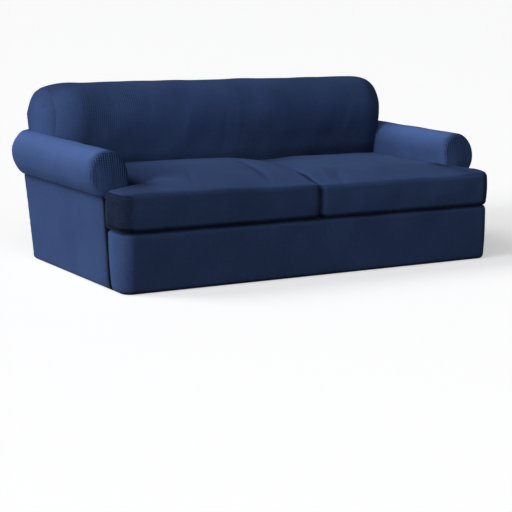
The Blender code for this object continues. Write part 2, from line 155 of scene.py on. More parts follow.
def run(points, axis):
    """Distance along the cloth from the grid's first line: the summed steps between neighbours."""
    steps = np.linalg.norm(np.diff(points, axis=axis), axis=2)
    zero = np.zeros_like(np.take(steps, [0], axis=axis))
    return np.cumsum(np.concatenate([zero, steps], axis=axis), axis=axis)


def run_of(a, b):
    """Distance along one row of places from its first: the summed steps, each the root of both squares."""
    return joined([0.0], np.cumsum(np.hypot(np.diff(a), np.diff(b))))


def normals(points, outward, closed=False):
    """The cross product of the grid's two directions at each point, at length 1, on the outward side."""
    if closed:
        points = np.concatenate([points[:, -1:], points, points[:, :1]], axis=1)
    across = np.gradient(points, axis=1)
    along = np.gradient(points, axis=0)
    normal = np.cross(across, along)
    normal /= np.maximum(np.linalg.norm(normal, axis=2, keepdims=True), 1e-12)
    if closed:
        normal = normal[:, 1:-1]
    return normal if np.sum(normal * outward) > 0 else -normal


def same_normal(points, direction):
    """The one direction at every point of a flat panel."""
    return np.broadcast_to(np.array(direction, dtype=float), points.shape).copy()


print("a step of 0.3 m across and 0.4 m back is", run_of([0.0, 0.3], [0.0, 0.4])[-1], "m of cloth")

# %% Dips along seams, puckers, and the cloth's slow unevenness
PUCKER_TURNS = 150.0
PUCKER_FADE = 0.022
HEM_STITCH = 0.045
# Each slow wave: radians in a metre along x, y and z, its share of the phase, and its weight
SLOW_WAVES = ((11.0, 3.0, 5.0, 1.0, 1.0), (-17.0, 19.0, 13.0, 2.3, 0.7), (31.0, 27.0, -22.0, 4.1, 0.45))


def seam_dip(distance, radius):
    """A quarter-round shoulder: the drop is the radius less the height of a circle at that distance."""
    short = np.clip(radius - distance, 0.0, radius)
    return -(radius - np.sqrt(radius**2 - short**2)) if radius else 0.0 * distance


def pucker(distance, along, size, phase):
    """Small waves along a seam that fade away from it: a sine of uneven pitch times a falling exponential."""
    wave = np.sin(along * PUCKER_TURNS + 1.7 * np.sin(along * 23.0 + phase) + phase)
    wave = wave * (0.6 + 0.4 * np.sin(along * 11.0 + 2.0 * phase))
    return size * wave * np.exp(-distance / PUCKER_FADE)


def uneven(points, size, phase):
    """Slow waves through space, from 0.13 to 0.5 m long: the weighted mean of SLOW_WAVES' three sines."""
    total = sum(weight * np.sin(points @ np.array(turns) + share * phase)
                for *turns, share, weight in SLOW_WAVES)
    return size * total / sum(row[-1] for row in SLOW_WAVES)


def relief(points, seams, size, phase):
    """The slow waves of that size, plus the dip and the puckers of every seam.

    A seam is (distance to it, place along it, radius of its dip, size of its puckers, phase).
    """
    shift = uneven(points, size, phase)
    for distance, along, radius, seam_size, seam_phase in seams:
        shift = shift + seam_dip(distance, radius) + pucker(distance, along, seam_size, seam_phase)
    return shift


def creases(a, b, rows):
    """Soft troughs and ridges: the sum over rows of the height times a bell curve of the way to the line.

    A row is (a0, b0, a1, b1, width, height). The height fades out over the last third towards both ends.
    """
    total = np.zeros_like(a)
    for a0, b0, a1, b1, width, height in rows:
        da, db = a1 - a0, b1 - b0
        share = ((a - a0) * da + (b - b0) * db) / (da**2 + db**2)
        near = np.clip(share, 0.0, 1.0)
        gap = np.hypot(a - a0 - near * da, b - b0 - near * db)
        fade = smooth(near * 3.0) * smooth((1.0 - near) * 3.0)
        total = total + height * fade * bell(gap / width)
    return total


def shaded(distance, width):
    """Painted shade in a seam's groove: minus a bell curve of the distance from it."""
    return -bell(distance / width)


def patches(a, b, rows):
    """The sum, over rows of a place, two widths and an amount, of the amount times a bell round the place."""
    return sum(amount * bell((a - a0) / wide, (b - b0) / long) for a0, b0, wide, long, amount in rows)


def on_cut_cloth(u, v, tone, ribs):
    """Across the ribs, along them, the tone of painted light and shade (0 plain, less for painted shade, more
    for painted light) and how deep the ribs show.
    """
    return np.stack(np.broadcast_arrays(u, v, tone, ribs), axis=-1)


print("a seam of 10 mm radius dips", float(-seam_dip(np.array(0.0), 0.01)), "m")

# %% [markdown]
# ## One sewing function
# Every panel ends in the same steps: move the points along their normals, turn the seam allowance in, make
# the mesh, store where each point lies on the flat cloth, and give the cloth its thickness. A
# Solidify modifier does the thickness, because it keeps the wall even round every bend. The place on the flat
# cloth is kept as a UV map in metres, so the knit runs with the panel as it does on real cut cloth.

# %% Make a panel from a grid
def put_in_scene(name, data):
    """A new object, made of the data, that is linked to the scene."""
    thing = bpy.data.objects.new(name, data)
    bpy.context.scene.collection.objects.link(thing)
    return thing


TURN_IN = 0.007
WELD = 0.00002


def mesh_from(name, points, flat, keep, outward_normal, closed):
    """Quads between neighbouring points, turned so that they face the way of the grid's own normals."""
    rows, columns = points.shape[:2]
    index = np.arange(rows * columns).reshape(rows, columns)
    right = np.roll(index, -1, axis=1) if closed else index[:, 1:]
    left = index if closed else index[:, :-1]
    quads = np.stack([left[:-1], right[:-1], right[1:], left[1:]], axis=-1)
    quads = quads.reshape(-1, 4) if keep is None else quads[keep]
    place = points.reshape(-1, 3) - np.array([0.0, MIDDLE_Y, 0.0])
    corners = place[quads]
    facing = np.cross(corners[:, 2] - corners[:, 0], corners[:, 3] - corners[:, 1])
    wanted = outward_normal.reshape(-1, 3)[quads].mean(axis=1)
    if np.sum(facing * wanted) < 0:
        quads = quads[:, ::-1]
    mesh = bpy.data.meshes.new(name)
    mesh.from_pydata(place.tolist(), [], quads.tolist())
    loops = np.empty(len(mesh.loops), dtype=np.int32)
    mesh.loops.foreach_get("vertex_index", loops)
    layer = mesh.uv_layers.new(name="cut_cloth")
    layer.data.foreach_set("uv", flat[..., :2].reshape(-1, 2)[loops].astype(np.float32).ravel())
    # The tone column carries each panel's painted light and shade into the knit
    for column, stored_name in ((2, "tone"), (3, "ribs")):
        number = mesh.attributes.new(stored_name, "FLOAT", "POINT")
        number.data.foreach_set("value", flat[..., column].astype(np.float32).ravel())
    area = float(np.linalg.norm(facing, axis=1).sum() / 2)
    return mesh, area


def turn_in(layers, edges):
    """Adds one more row or column at each seam edge, TURN_IN deeper: the seam allowance inside the cover.

    The layers are the points, their normals and their flat places.
    """
    for wanted, (axis, place) in zip(edges, ((0, 0), (0, -1), (1, 0), (1, -1))):
        if wanted:
            added = [np.take(layer, [place], axis=axis) for layer in layers]
            added[0] = added[0] - TURN_IN * added[1]
            pairs = zip(added, layers) if place == 0 else zip(layers, added)
            layers = [np.concatenate(pair, axis=axis) for pair in pairs]
    return layers


def sew(name, node, slot, points, normal, flat_uv, keep=None, *, cut, edges=(0, 0, 0, 0),
        closed=False, rests=()):
    """Finishes a panel: turned-in edges, mesh, wall, knit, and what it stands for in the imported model.

    cut is the rectangle that it is cut from, and edges says which of first row, last row, first column and
    last column are seams.
    """
    before = points.shape[:2]
    points, normal, flat_uv = turn_in((points, normal, flat_uv), edges)
    if keep is not None:
        keep = np.pad(keep, [edges[:2], edges[2:]], mode="edge")
    mesh, area = mesh_from(name, points, flat_uv, keep, normal, closed)
    piece = put_in_scene(name, mesh)
    mesh.materials.append(knits[slot])
    weld = piece.modifiers.new("Weld", "WELD")
    weld.merge_threshold = WELD
    wall = piece.modifiers.new("Cloth thickness", "SOLIDIFY")
    wall.thickness = CLOTH
    wall.offset = 1.0
    mesh.shade_smooth()
    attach(piece, "root")
    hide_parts(node)
    print(name, "grid", before, "area", round(area, 3), "of", round(cut[0] * cut[1], 3))


print("the seam allowance inside the cover is", TURN_IN, "m wide")

# %% [markdown]
# ## The knit
# The cover is a stretch knit with a small raised check: ribs up the cloth, broken about every centimetre.
# A picture of cloth could be wrapped on, but it would blur close up. Waves on the cut cloth's own map stay
# sharp at any size. One group of nodes makes the height of the weave, and the same height also paints
# shade into the colour, darker in the knit's hollows. The fine stitches are a second, tiny wave. Each
# panel's stored tone adds its painted light and shade.

# %% The knit as a material
RIB_PITCH = 0.0110
BREAK_PITCH = 0.0095
STITCH_PITCH = 0.0016
WANDER = 0.006
BREAK_DEPTH = 0.60
MEAN_HEIGHT = 0.42
LEAST_CLEAR, MOST_CLEAR = 0.15, 1.5
KNIT_RELIEF = 0.0012
NAVY = (0.031, 0.056, 0.143)
# The near-black that painted shade mixes towards, in rib hollows, seams and crevices
SHADE_BLACK = (0.001, 0.002, 0.004)
SHEEN = (0.26, 0.44, 1.0)
SHADES = {"body_knit": 1.0, "seat_knit": 1.0, "deck_knit": 0.8}


def link_math(tree, operation, a, b=None, c=None):
    """One Math node: the operation on a, b and c, each a number or another node's output."""
    node = tree.nodes.new("ShaderNodeMath")
    node.operation = operation
    for socket, value in zip(node.inputs, (a, b, c)):
        if isinstance(value, bpy.types.NodeSocket):
            tree.links.new(value, socket)
        elif value is not None:
            socket.default_value = value
    return node.outputs[0]


def wave(tree, place, pitch):
    """Half of one plus the sine of two pi times the place over the pitch."""
    sine = link_math(tree, "SINE", link_math(tree, "MULTIPLY", place, 2 * math.pi / pitch))
    return link_math(tree, "MULTIPLY_ADD", sine, 0.5, 0.5)


def noise(tree, place, scale, detail, stretch=(1.0, 1.0, 1.0)):
    """Soft noise at that scale, less its mean of a half; a stretch of the place draws it out into streaks."""
    longer = tree.nodes.new("ShaderNodeVectorMath")
    longer.operation = "MULTIPLY"
    tree.links.new(place, longer.inputs[0])
    longer.inputs[1].default_value = stretch
    node = tree.nodes.new("ShaderNodeTexNoise")
    node.inputs["Scale"].default_value = scale
    node.inputs["Detail"].default_value = detail
    tree.links.new(longer.outputs[0], node.inputs["Vector"])
    return link_math(tree, "SUBTRACT", node.outputs["Fac"], 0.5)


def stored(tree, name):
    """A number that the mesh keeps at each point."""
    node = tree.nodes.new("ShaderNodeAttribute")
    node.attribute_name = name
    return node.outputs["Fac"]


def set_inputs(node, values):
    """Sets the node's named inputs to fixed values."""
    for name, value in values.items():
        node.inputs[name].default_value = value


def new_material(name):
    """A material of nodes, and its shader."""
    material = bpy.data.materials.new(name)
    material.use_nodes = True
    return material, material.node_tree.nodes["Principled BSDF"]


def knit(name, shade):
    """Ribs times breaks gives the height. The height paints shade into the rib hollows, streaks and patches
    vary the navy at random, and the stored tone adds painted light and shade.
    """
    material, shader = new_material(name)
    tree = material.node_tree
    times = partial(link_math, tree, "MULTIPLY")
    times_plus = partial(link_math, tree, "MULTIPLY_ADD")
    cut = tree.nodes.new("ShaderNodeUVMap")
    cut.uv_map = "cut_cloth"
    cloth = cut.outputs["UV"]
    parts = tree.nodes.new("ShaderNodeSeparateXYZ")
    tree.links.new(cloth, parts.inputs[0])
    across, along = parts.outputs["X"], parts.outputs["Y"]
    solid = tree.nodes.new("ShaderNodeTexCoord").outputs["Object"]
    wander = times(noise(tree, cloth, 14.0, 2.0), WANDER)
    ribs = wave(tree, link_math(tree, "ADD", across, wander), RIB_PITCH)
    breaks = wave(tree, link_math(tree, "ADD", along, wander), BREAK_PITCH)
    height = times(ribs, times_plus(breaks, BREAK_DEPTH, 1 - BREAK_DEPTH))
    stitches = times(wave(tree, across, STITCH_PITCH), wave(tree, along, STITCH_PITCH))
    clear = link_math(tree, "MAXIMUM", times_plus(noise(tree, solid, 7.0, 2.0), 4.0, 0.70), LEAST_CLEAR)
    depth = times(stored(tree, "ribs"), link_math(tree, "MINIMUM", clear, MOST_CLEAR))
    ribbed = times(link_math(tree, "SUBTRACT", height, MEAN_HEIGHT), depth)
    # The rib height paints shade into the colour: painted shade in the knit's hollows, painted light on the
    # rib tops
    tone = times_plus(ribbed, 0.80, 0.5)
    # Streaks, wide patches and small specks at random, and the stored tone's painted light and shade, each
    # with its share
    for part, weight in ((noise(tree, cloth, 1.0, 3.0, (55.0, 5.0, 1.0)), times(stored(tree, "ribs"), 0.40)),
                         (noise(tree, solid, 4.5, 4.0), 0.24), (noise(tree, cloth, 60.0, 3.0), 0.14),
                         (stored(tree, "tone"), 0.36)):
        tone = times_plus(part, weight, tone)
    colour = tree.nodes.new("ShaderNodeMix")
    colour.data_type = "RGBA"
    tree.links.new(tone, colour.inputs["Factor"])
    set_inputs(colour, {"A": (*SHADE_BLACK, 1.0), "B": (*(2 * shade * c for c in NAVY), 1.0)})
    tree.links.new(colour.outputs["Result"], shader.inputs["Base Color"])
    bump = tree.nodes.new("ShaderNodeBump")
    set_inputs(bump, {"Strength": 0.7, "Distance": KNIT_RELIEF})
    tree.links.new(times_plus(stitches, 0.12, times(height, depth)), bump.inputs["Height"])
    tree.links.new(bump.outputs["Normal"], shader.inputs["Normal"])
    set_inputs(shader, {"Roughness": 0.88, "Specular IOR Level": 0.06, "Sheen Weight": 0.08,
                        "Sheen Roughness": 0.45, "Sheen Tint": (*SHEEN, 1.0)})
    return material


knits = {name: knit(name, shade) for name, shade in SHADES.items()}
print("knits", sorted(knits))

# %% [markdown]
# ## The front rail
# One long panel wraps round both front corners and meets the sides beside the arms. It is easiest to
# draw as an outline in plan carried up a section: hem at the floor, a wall that bows out a little, and a
# rounded top edge that the cushions hide.

# %% Rail: outline times section
HEM_CORNER = 0.028
HEM_PLACES = 4
FRONT_DIP = 0.016


def arm_y(z):
    """The leaning fronts of the arms: a foot distance plus the lean times the height."""
    return ARM_FOOT + ARM_LEAN * z


def hem_section():
    """Distance inward and height, from the hem's inner edge round a quarter circle at the floor."""
    turn = quarter(9)
    flat = np.linspace(HEM_ROLL + HEM_RETURN, HEM_ROLL, HEM_PLACES)[:-1]
    inward = joined(flat, HEM_ROLL * (1 - np.sin(turn)))
    height = CLOTH + joined(0.0 * flat, HEM_ROLL * (1 - np.cos(turn)))
    return inward, height


def rail_plan():
    """The outline and its outward directions: the straight front, a quarter circle, and the short side."""
    straight = HALF_WIDTH - RAIL_CORNER
    front = stations(straight, 0.012, start=False, stop=False)[:-1]
    turn = quarter(16)
    side = RAIL_CORNER + stations(ARM_FOOT - CLOTH - RAIL_CORNER, 0.008, start=False)[1:]
    x = joined(front, straight + RAIL_CORNER * np.sin(turn), np.full(len(side), HALF_WIDTH))
    y = joined(0.0 * front, RAIL_CORNER * (1 - np.cos(turn)), side)
    angle = joined(0.0 * front, turn, np.full(len(side), np.pi / 2))
    halves = ((-1, x), (1, y), (-1, angle))
    x, y, angle = (joined(sign * part[:0:-1], part) for sign, part in halves)
    return np.stack([x, y], axis=1), np.stack([np.sin(angle), -np.cos(angle)], axis=1)


def rail_panel():
    """The outline in plan carried up the section; its ends lean with the arms and round in at the hem."""
    plan, out = rail_plan()
    inward, height = hem_section()
    wall = stations(RAIL_TOP - HEM_ROLL - height[-1], 0.010, start=False, stop=False)[1:] + height[-1]
    turn = quarter(7)[1:]
    bow = RAIL_BOW * np.sin(np.pi * wall / RAIL_TOP)
    inward = joined(inward, -bow, HEM_ROLL * (1 - np.cos(turn)), [DECK_INSET])[:, None]
    height = joined(height, wall, RAIL_TOP - HEM_ROLL * (1 - np.sin(turn)), [RAIL_TOP])[:, None]
    round_side = np.clip((plan[:, 1] - RAIL_CORNER) / (ARM_FOOT - CLOTH - RAIL_CORNER), 0.0, 1.0)
    x, y = plan.T[:, None] - out.T[:, None] * inward
    points = grid(x, y + ARM_LEAN * height * round_side, height)
    normal = normals(points, (0, -1, 0))
    u, v = run(points, 1), run(points, 0)[:, :1]
    corner = HEM_CORNER - np.sqrt(HEM_CORNER**2 - np.clip(HEM_CORNER - height, 0.0, HEM_CORNER)**2)
    to_seam = np.clip(np.minimum(u, u[:, -1:] - u) - corner, 0.0, None)
    u = u - u[:, [u.shape[1] // 2]]
    shift = relief(points, [(to_seam, v, FRONT_DIP, 0.0006, 1.0),
                            (np.abs(v - HEM_STITCH), u, 0.0, 0.0005, 2.2)], 0.0012, 0.4)
    points = points + normal * (shift * rise(height, 0.0, 0.02))[..., None]
    # Painted light and shade on the rail: darker overall, a painted highlight on the lit wrap round each
    # corner, and painted shade in the seam beside the sides, under the cushions at the top and along the
    # floor
    tone = -0.26 + 0.60 * bell(to_seam / 0.085) + 2.0 * shaded(to_seam, 0.010)
    tone = tone - 0.8 * rise(height, RAIL_TOP - 0.012, 0.009) - 1.1 * (1 - rise(height, 0.004, 0.018))
    return points, normal, on_cut_cloth(u, v, tone, 0.12)


sew("rail_panel", "front_rail", "body_knit", *rail_panel(), cut=(2.36, 0.36), edges=(0, 0, 1, 1))

# %% [markdown]
# ## The panel under the cushions
# Nobody sees it in use, but it joins the rail, the arms and the back. It is a flat T, cut round the arms. It
# reaches one row of points in under their fronts, so no light comes up through the seam.

# %% Deck: a flat T of points
DECK_ROUND = 0.008
DECK_REACH = 0.020
EAR_PLACES = 7
FRONT_PLACES = 8


def deck_panel():
    """Even places across and back; quads under the arms are left out, behind a first row that dips."""
    ear = HALF_WIDTH - DECK_INSET - SEAM
    inner = ROLL_X - ROLL_HALF
    front = DECK_INSET + SEAM
    side = joined(np.linspace(0.0, inner, 40), np.linspace(inner, ear, EAR_PLACES)[1:])
    deep = np.linspace(arm_y(RAIL_TOP) - CLOTH, DECK_BACK, 30)
    y = joined(np.linspace(front, deep[0], FRONT_PLACES)[:-1], deep)
    points = grid(joined(-side[:0:-1], side), y[:, None], 0.0)
    corner = rise(np.abs(points[..., 0]), ear - DECK_REACH, DECK_REACH)
    points[..., 1] += DECK_ROUND * corner * (1 - rise(points[..., 1], front, DECK_REACH))
    points[..., 2] = RAIL_TOP + uneven(points, 0.00048, 3.0)
    keep = all_quads(points)
    for under in (slice(None, EAR_PLACES), slice(-EAR_PLACES, None)):
        points[FRONT_PLACES:, under, 2] -= CLOTH
    for under in (slice(None, EAR_PLACES - 1), slice(1 - EAR_PLACES, None)):
        keep[FRONT_PLACES:, under] = False
    normal = same_normal(points, (0, 0, 1))
    return points, normal, on_cut_cloth(points[..., 0], points[..., 1], 0.0, 0.1), keep


sew("deck_panel", "seat_deck", "deck_knit", *deck_panel(), cut=(2.02, 0.82))

# %% [markdown]
# ## The outer sides
# Each side is nearly flat. It starts beside the rail, ends at the raked rear, and stops at the seam under the
# roll. A flat plane would look like card, so it keeps a shallow unevenness and small puckers at its seams.

# %% Sides: a flat grid between two slanted ends
def rear_y(z):
    """The raked rear: a foot distance plus the rake times the height."""
    return REAR_FOOT + REAR_RAKE * z


CORNER_TRIM = 0.0025
REAR_DIP = 0.009
# Crease rows: places along the panel and up it, u0, v0, u1, v1, then width and height
SIDE_CREASES = [(0.10, 0.40, 0.30, 0.24, 0.030, -0.0010), (0.58, 0.41, 0.80, 0.27, 0.035, -0.0012),
                (0.05, 0.06, 0.22, 0.13, 0.025, 0.0012), (0.60, 0.05, 0.84, 0.10, 0.030, 0.0014)]


def side_panel(side, phase):
    """A row at each height, from the arm's leaning front line to the raked rear, in the side's own plane."""
    inward, height = hem_section()
    wall = stations(UNDERSIDE_Z - CLOTH - SEAM - height[-1], 0.010, start=False)[1:] + height[-1]
    inward = joined(inward, 0.0 * wall)[:, None]
    height = joined(height, wall)[:, None]
    start = arm_y(height) - CLOTH + SEAM
    end = rear_y(height) - SEAM - CORNER_TRIM - inward
    u = (end - start) * stations(0.9, 0.011) / 0.9
    points = grid(side * (HALF_WIDTH - inward), start + u, height)
    normal = normals(points, (side, 0, 0))
    v = run(points, 0)[:, :1]
    to_top = v[-1:] - v
    seams = [(u, v, FRONT_DIP, 0.0006, phase + 1.0), (end - start - u, v, REAR_DIP, 0.0006, phase + 2.0),
             (to_top, u, 0.006, 0.0009, phase), (np.abs(v - HEM_STITCH), u, 0.0, 0.0006, phase)]
    shift = relief(points, seams, 0.0012, phase) + creases(u, v, SIDE_CREASES)
    points = points + normal * (shift * rise(height, 0.0, 0.05))[..., None]
    # Painted shade on the side: in the seam at the front, under the roll at the top, and along the floor
    tone = 1.5 * shaded(u, 0.020) + 0.40 * shaded(u, 0.070) + 0.6 * shaded(to_top, 0.014)
    tone = tone - 0.9 * (1 - rise(height, 0.003, 0.012))
    return points, normal, on_cut_cloth(u, v, tone, 0.10)


for name, side, phase in (("left", -1, 0.3), ("right", 1, 1.9)):
    sew("side_panel_" + name, "side_" + name, "body_knit", *side_panel(side, phase), cut=(0.96, 0.48),
        edges=(0, 1, 1, 1))

# %% [markdown]
# ## The arms
# One piece of cloth goes from the seat up the inside of the arm, over the roll, and down to the seam under
# it. A second, D-shaped piece faces the front. Their shared edge is soft, so both pieces follow one quarter
# circle there, half each. Beyond the back's end the roll runs on to the rear, so the grid is stepped there.

# %% Arm wrap: a section of angles carried from front to rear
SHARED_EDGE = np.radians(45.0)
# The back's section, from the seat over the top to the seam behind: y, z, and how far the ends round off
BACK_SECTION = np.array([
    (0.832, RAIL_TOP + CLOTH + SEAM, 0.10), (0.826, 0.380, 0.12), (0.820, 0.470, 0.15),
    (0.812, 0.560, 0.15), (0.806, END_FOOT_Z, 0.15), (0.802, 0.680, 0.15), (0.808, 0.740, 0.15),
    (0.832, 0.800, 0.15), (0.878, 0.845, 0.13), (0.950, 0.864, 0.08), (1.030, 0.858, 0.045),
    (1.100, 0.830, 0.030), (1.152, 0.775, 0.020), (REAR_FOOT + REAR_RAKE * REAR_SEAM_Z, REAR_SEAM_Z, 0.008)])


def arm_stop(x, z):
    """How far back the arm's cloth runs: to just in front of the back's rounded front at that x and z."""
    rows = BACK_SECTION[:6]
    flat = np.interp(z, rows[:, 1], rows[:, 0])
    depth = np.interp(z, rows[:, 1], rows[:, 2])
    turn = np.clip((np.abs(x) - BACK_HALF + BACK_CORNER) / BACK_CORNER, 0.0, 1.0)
    facing = np.sqrt(1 - turn**2)
    return flat + depth * (1 - facing)


ROLL_CREASES = [(0.16, 0.02, 0.17, 0.60, 0.016, -0.0012), (0.25, 0.30, 0.245, 0.95, 0.020, -0.0016),
                (0.31, 0.05, 0.30, 0.45, 0.014, 0.0010), (0.08, 0.35, 0.09, 0.88, 0.016, 0.0011),
                (0.42, 0.42, 0.34, 0.70, 0.022, -0.0026), (0.48, 0.30, 0.38, 0.66, 0.020, 0.0018),
                (0.20, 0.62, 0.14, 0.98, 0.018, 0.0016)]


def roll_section(angle, drawn_in=0.0):
    """The roll's oval at these angles, less drawn_in where nothing is sewn along it: x and z."""
    degrees = np.degrees(angle)
    free = rise(degrees, math.degrees(UNDERSIDE_ANGLE), TAIL_FULL)
    free = free * (1 - rise(degrees, TAIL_LAST - TAIL_FADE, TAIL_FADE))
    return np.stack([ROLL_X + (ROLL_HALF - drawn_in * free) * np.cos(angle),
                     ROLL_Z + (ROLL_RISE - drawn_in * free) * np.sin(angle)])


def roll_out(angle):
    """The oval's outward direction: cosine over its half width and sine over its rise, at length 1."""
    out = np.stack([np.cos(angle) / ROLL_HALF, np.sin(angle) / ROLL_RISE])
    return out / np.linalg.norm(out, axis=0)


def arm_wrap(side, phase):
    """Round the oval and down to the deck, from the soft front edge to the rear, where the roll draws in."""
    step_angle = math.acos((ROLL_STEP - ROLL_X) / ROLL_HALF)
    first = stations((step_angle - UNDERSIDE_ANGLE) * ROLL_RISE, 0.007, stop=False) / ROLL_RISE
    angle = joined(UNDERSIDE_ANGLE + first, np.linspace(step_angle, np.pi, 24)[1:])
    step = len(first) - 1
    down = np.linspace(ROLL_Z, RAIL_TOP + CLOTH, 22)[1:]
    x, z = np.hstack([roll_section(angle), [np.full(len(down), ROLL_X - ROLL_HALF), down]])
    out_x, out_z = np.hstack([roll_out(angle), [np.full(len(down), -1.0), 0.0 * down]])
    meet = arm_stop(np.minimum(x, ROLL_STEP), z)
    meet[:step] = meet[step]
    share = stations(0.65, 0.011, start=False, stop=False)[:, None] / 0.65
    alpha = np.linspace(SHARED_EDGE, np.pi / 2, 7)[:-1, None]
    tail_share = np.linspace(0.0, 1.0, 16)[1:, None]
    turn = quarter(13)[1:, None]
    edge, tail = slice(None, len(alpha)), slice(-len(turn), None)
    drop = ROLL_EDGE * (1 - np.sin(alpha))
    front = arm_y(z) + ROLL_EDGE
    rear = rear_y(z) - SEAM - CORNER_TRIM
    y = np.vstack([arm_y(z - drop * out_z) + ROLL_EDGE * (1 - np.cos(alpha)), front + (meet - front) * share,
                   meet + (rear - TAIL_LENGTH - meet) * tail_share, rear - TAIL_LENGTH * (1 - np.sin(turn))])
    points = grid(x, y, z)
    points[edge, :, 0] -= drop * out_x
    points[edge, :, 2] -= drop * out_z
    tail_x, tail_z = roll_section(angle, TAIL_DRAW * (1 - np.cos(turn)))
    points[tail, :len(angle), 0], points[tail, :len(angle), 2] = tail_x, tail_z
    points[tail, :, 1] += REAR_RAKE * (points[tail, :, 2] - z)
    points[..., 0] *= side
    u, v = run_of(x, z), y - arm_y(z)
    to_rear = np.where(np.arange(len(x)) <= step, rear - y, 1.0)
    seams = [(u, v, 0.008, 0.0010, phase), (v, u, 0.0, 0.0004, phase + 2.0),
             (to_rear, u, 0.004, 0.0007, phase + 1.0)]
    shift = relief(points, seams, 0.0022, phase) + creases(u, v, ROLL_CREASES)
    shift[edge] *= np.linspace(0.0, 1.0, len(alpha))[:, None]
    lean, ahead = np.ones((len(y), 1)), np.zeros((len(y), 1))
    lean[edge], ahead[edge] = np.sin(alpha), -np.cos(alpha)
    lean[tail], ahead[tail] = np.cos(turn), np.sin(turn)
    normal = grid(side * out_x * lean, ahead, out_z * lean)
    points[..., ::2] += normal[..., ::2] * shift[..., None]
    keep = all_quads(points)
    keep[len(alpha) + len(share) - 1:, step:] = False
    # Painted light and shade on the wrap: lighter towards the roll's top, painted shade down the inner side,
    # both fading out towards the soft front edge, and painted shade in the seam under the roll
    high = np.clip(out_z, 0.0, 1.0)
    painted_light = 0.30 + 1.40 * high**1.5 - 0.50 * (1 - rise(out_x, -1.1, 1.0))
    painted_light = painted_light * rise(v, 0.0, 0.080 - 0.040 * high)
    ribs = 0.16 + 0.34 * (1 - rise(v, 0.0, 0.035))
    return points, normal, on_cut_cloth(u, v, painted_light + 0.9 * shaded(u, 0.014), ribs), keep


for name, side, phase in (("left", -1, 0.9), ("right", 1, 2.7)):
    sew("arm_roll_" + name, "arm_wrap_" + name, "body_knit", *arm_wrap(side, phase), cut=(0.66, 1.00),
        edges=(1, 0, 1, 0))

# %% Arm face: an outline drawn in to a line up its middle
def face_outline(inset):
    """Up the outer side, over the roll and down the inner side, that far inside the arm's own outline."""
    low = np.radians(np.linspace(-88.0, 0.0, 177))
    notch = np.interp(HALF_WIDTH - inset, (roll_section(low) - inset * roll_out(low))[0], low)
    angle = joined(np.linspace(notch, 0.0, 18), np.linspace(0.0, np.pi, 46)[1:-1])
    x, z = roll_section(angle) - inset * roll_out(angle)
    stem = np.linspace(RAIL_TOP + CLOTH, z[0], 12)[:-1]
    down = joined(stem, z[:18])[::-1]
    x = joined(np.full(len(stem), HALF_WIDTH - inset), x,
               np.full(len(down), ROLL_X - ROLL_HALF + inset))
    return x, joined(stem, z, down)


def arm_face(side, phase, ribs):
    """Rings: half a quarter circle at the edge, then straight lines to the spine, puffed forward."""
    alpha = np.linspace(SHARED_EDGE, 0.0, 7)[:-1]
    share = np.linspace(0.0, 1.0, 15)
    inset = joined(ROLL_EDGE * (1 - np.sin(alpha)), np.full(len(share), ROLL_EDGE))
    behind = joined(ROLL_EDGE * (1 - np.cos(alpha)), 0.0 * share)[:, None]
    share = joined(0.0 * alpha, share)[:, None]
    x, z = np.stack([face_outline(value) for value in inset], axis=1)
    spine_z = np.minimum(z, ROLL_Z)
    stem_x = (HALF_WIDTH + ROLL_X - ROLL_HALF) / 2
    spine_x = stem_x + (ROLL_X - stem_x) * rise(spine_z, UNDERSIDE_Z, ROLL_Z - UNDERSIDE_Z)
    x = x + (spine_x - x) * share
    z = z + (spine_z - z) * share
    points = grid(side * x, arm_y(z) + behind, z)
    forward = FACE_PUFF * np.sin(np.pi / 2 * share) * rise(spine_z, PUFF_FOOT, PUFF_FADE)
    points[..., 1] -= forward + share * uneven(points, 0.0008, phase)
    # Painted shade on the face: all of it a little darker, and darker still below the roll's seam
    tone = -0.14 - 0.5 * (1 - rise(z, UNDERSIDE_Z - 0.03, 0.04))
    return points, same_normal(points, (0, -1, 0)), on_cut_cloth(x, z, tone, ribs)


for name, side, phase, ribs in (("left", -1, 0.0, 1.05), ("right", 1, 1.3, 0.65)):
    sew("arm_face_" + name, "arm_front_" + name, "body_knit", *arm_face(side, phase, ribs), cut=(0.19, 0.34),
        edges=(1, 0, 0, 0))

# %% [markdown]
# ## The back
# The back's cloth comes up from the seat, over the fat rounded top, and down to a seam behind. Seen from the
# end its section is a table of places with a smooth curve through them. Towards the ends the section draws
# in along a quarter ellipse, which gives the pillow shape, and a separate end panel finishes it.

# %% A smooth curve through the back's section
def curve_through(rows):
    """A Catmull-Rom curve: a cubic between two rows that leaves along the line through their neighbours."""
    rows = np.vstack([2 * rows[0] - rows[1], rows, 2 * rows[-1] - rows[-2]])
    spans = len(rows) - 3
    t = np.linspace(0.0, spans, spans * 40 + 1)
    i = np.minimum(t.astype(int), spans - 1)
    f = (t - i)[:, None]
    a, b, c, d = rows[i], rows[i + 1], rows[i + 2], rows[i + 3]
    return 0.5 * (2 * b + (c - a) * f + (2 * a - 5 * b + 4 * c - d) * f**2 + (3 * b - a - 3 * c + d) * f**3)


def pick(rows, key, values):
    """The rows' three columns read where the key has the given values."""
    return np.stack([np.interp(values, key, rows[:, k]) for k in range(3)], axis=1)


SECTION = curve_through(BACK_SECTION)
SECTION_RUN = run_of(*SECTION[:, :2].T)
print("the back's cloth is", round(float(SECTION_RUN[-1]), 3), "m from the seat to the seam behind")


def towards_spine(rows):
    """The direction and distance from each row to the spine: a fixed y, and the row's z up to SPINE_Z."""
    spine = np.stack([np.full(len(rows), SPINE_Y), np.minimum(rows[:, 1], SPINE_Z)], axis=1)
    inward = spine - rows[:, :2]
    reach = np.linalg.norm(inward, axis=1)
    return inward / reach[:, None], reach


